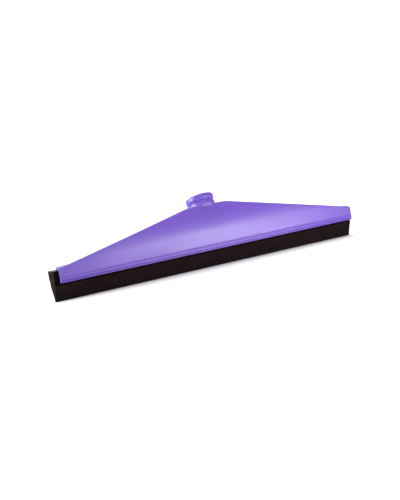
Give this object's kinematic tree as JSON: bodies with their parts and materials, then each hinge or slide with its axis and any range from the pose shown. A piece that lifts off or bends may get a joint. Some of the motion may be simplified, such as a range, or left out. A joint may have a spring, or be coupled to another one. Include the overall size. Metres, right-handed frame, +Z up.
{
  "type": "floor squeegee head",
  "caption": "Floor squeegee head: flared plastic web with a threaded handle socket and a slide-in cassette holding two wedge-shaped foam rubber blades.",
  "frame": {"origin": "middle of the blade edge, where both blade tips meet the floor", "axes": "+X along the blade to the end where the cassette is flush, +Y to the back, the side the handle socket leans to, +Z up from the blade edge"},
  "size_m": [0.4, 0.0443, 0.0879],
  "materials": {
    "head_plastic": "satin moulded polypropylene, purple",
    "carrier_plastic": "satin black moulded plastic",
    "blade_rubber": "matt black closed-cell foam rubber with fine pores"
  },
  "bodies": {
    "head": {"squeegee_head": "head_plastic", "handle_socket": "head_plastic"},
    "cassette": {"blade_carrier": "carrier_plastic", "front_blade": "blade_rubber", "rear_blade": "blade_rubber"}
  },
  "joints": [
    {"name": "cassette_slide", "type": "slide", "parent": "head", "child": "cassette", "axis": [-1, 0, 0], "range_m": [0, 0.394]}
  ]
}
